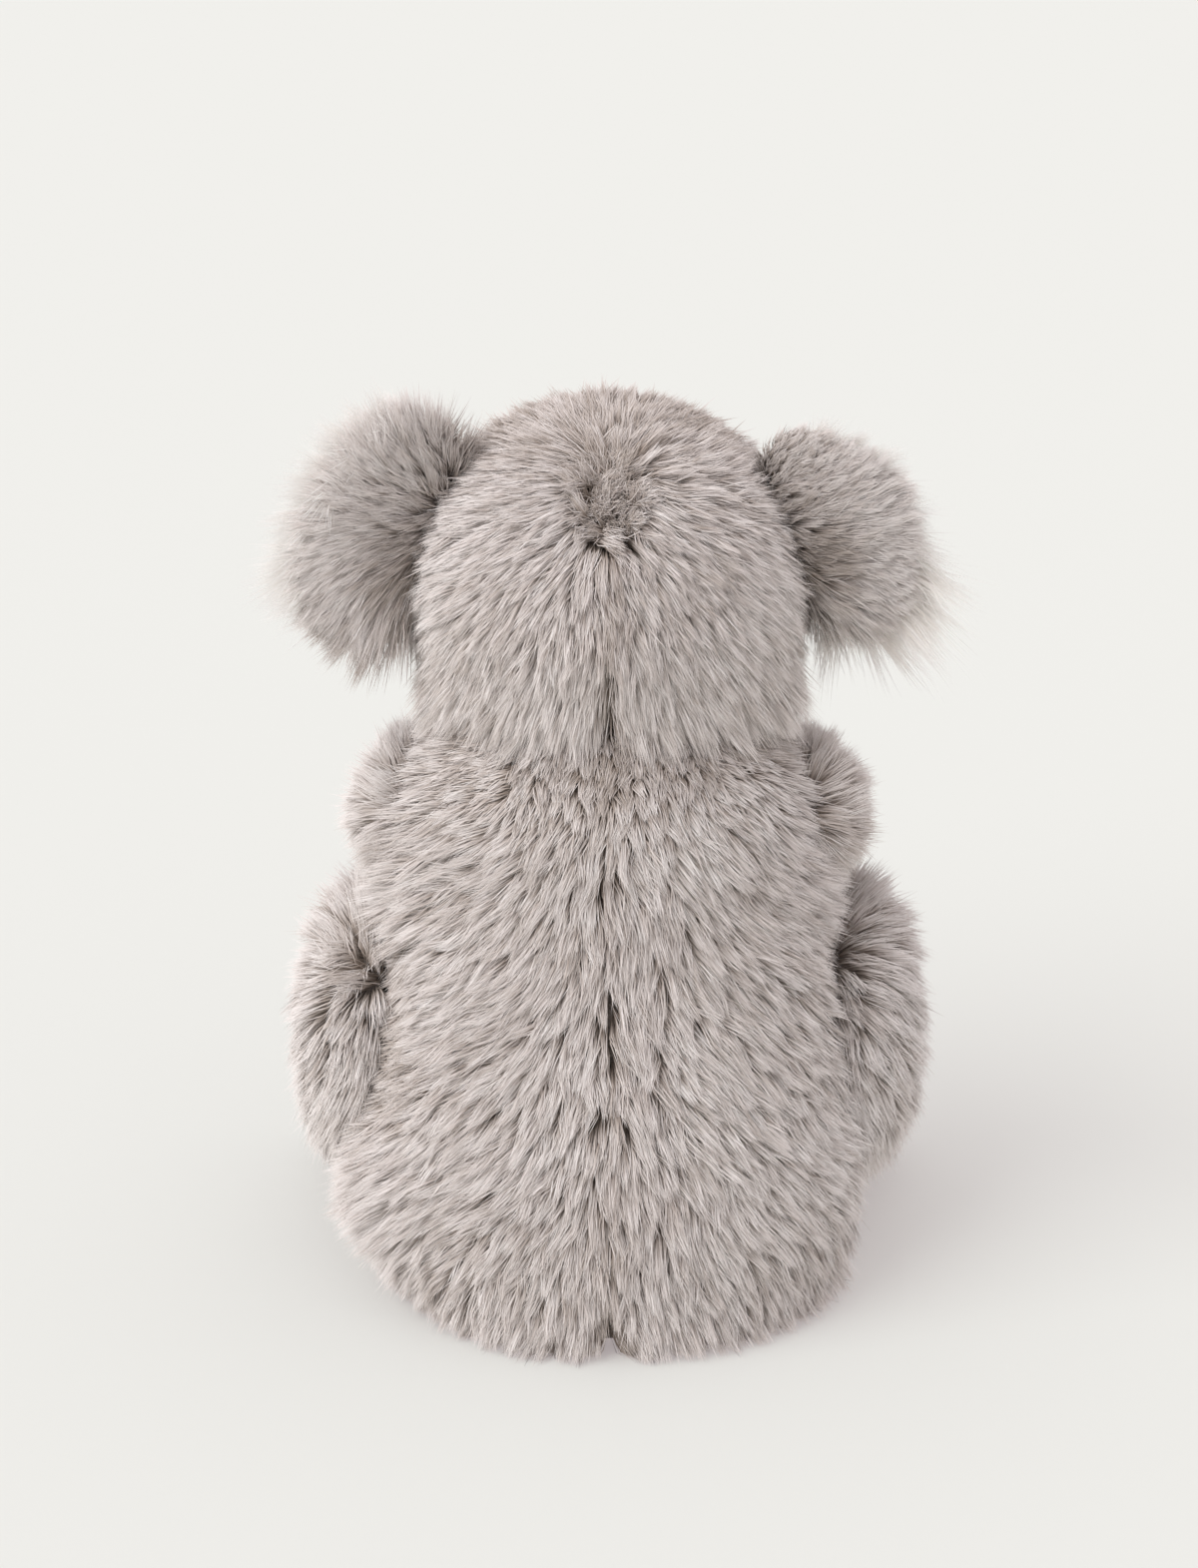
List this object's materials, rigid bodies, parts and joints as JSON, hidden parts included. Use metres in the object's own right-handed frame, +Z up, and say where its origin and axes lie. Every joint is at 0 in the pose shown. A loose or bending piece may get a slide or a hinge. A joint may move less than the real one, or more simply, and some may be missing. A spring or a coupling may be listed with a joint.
{
  "type": "plush koala",
  "caption": "Seated long-pile grey plush koala with white-lined ears, sewn limbs that lift, and a pellet seat.",
  "frame": {"origin": "middle of the flat seat, on the surface the toy sits on", "axes": "+Z up through the head, -Y towards the face, +X to the toy's left arm"},
  "size_m": [0.1572, 0.1341, 0.218],
  "materials": {
    "grey_fur": "long pile",
    "white_fur": "long pile",
    "fibre_fill": "matte",
    "seat_cloth": "matte",
    "black_plastic": "gloss",
    "white_plastic": "matte"
  },
  "bodies": {
    "torso": {"torso_skin": "grey_fur", "torso_stuffing": "fibre_fill", "pellet_bag": "seat_cloth", "base_panel": "seat_cloth"},
    "head": {"head_skin": "grey_fur", "head_stuffing": "fibre_fill", "nose": "black_plastic", "nose_washer": "white_plastic", "eye_left": "black_plastic", "eye_right": "black_plastic", "eye_washer_left": "white_plastic", "eye_washer_right": "white_plastic"},
    "left_ear": {"ear_left": "grey_fur", "ear_lining_left": "white_fur"},
    "right_ear": {"ear_right": "grey_fur", "ear_lining_right": "white_fur"},
    "left_arm": {"arm_skin_left": "grey_fur", "arm_stuffing_left": "fibre_fill"},
    "right_arm": {"arm_skin_right": "grey_fur", "arm_stuffing_right": "fibre_fill"},
    "left_leg": {"leg_skin_left": "grey_fur", "leg_stuffing_left": "fibre_fill"},
    "right_leg": {"leg_skin_right": "grey_fur", "leg_stuffing_right": "fibre_fill"}
  },
  "joints": [
    {"name": "neck_nod", "type": "hinge", "parent": "torso", "child": "head", "pos_m": [0, -0.004, 0.118], "axis": [1, 0, 0], "range_deg": [-15, 15]},
    {"name": "left_arm_lift", "type": "hinge", "parent": "torso", "child": "left_arm", "pos_m": [0.04395, -0.012, 0.113], "axis": [-1, 0, 0], "range_deg": [0, 30]},
    {"name": "left_leg_lift", "type": "hinge", "parent": "torso", "child": "left_leg", "pos_m": [0.05297, -0.02, 0.056], "axis": [-1, 0, 0], "range_deg": [0, 45]},
    {"name": "left_ear_fold", "type": "hinge", "parent": "head", "child": "left_ear", "pos_m": [0.0415, -0.005, 0.185], "axis": [0.3584, 0, -0.9336], "range_deg": [-20, 20], "stiffness_Nm_per_rad": 0.03},
    {"name": "right_arm_lift", "type": "hinge", "parent": "torso", "child": "right_arm", "pos_m": [-0.04395, -0.012, 0.113], "axis": [-1, 0, 0], "range_deg": [0, 30]},
    {"name": "right_leg_lift", "type": "hinge", "parent": "torso", "child": "right_leg", "pos_m": [-0.05297, -0.02, 0.056], "axis": [-1, 0, 0], "range_deg": [0, 45]},
    {"name": "right_ear_fold", "type": "hinge", "parent": "head", "child": "right_ear", "pos_m": [-0.0415, -0.005, 0.185], "axis": [0.3584, 0, 0.9336], "range_deg": [-20, 20], "stiffness_Nm_per_rad": 0.03}
  ]
}
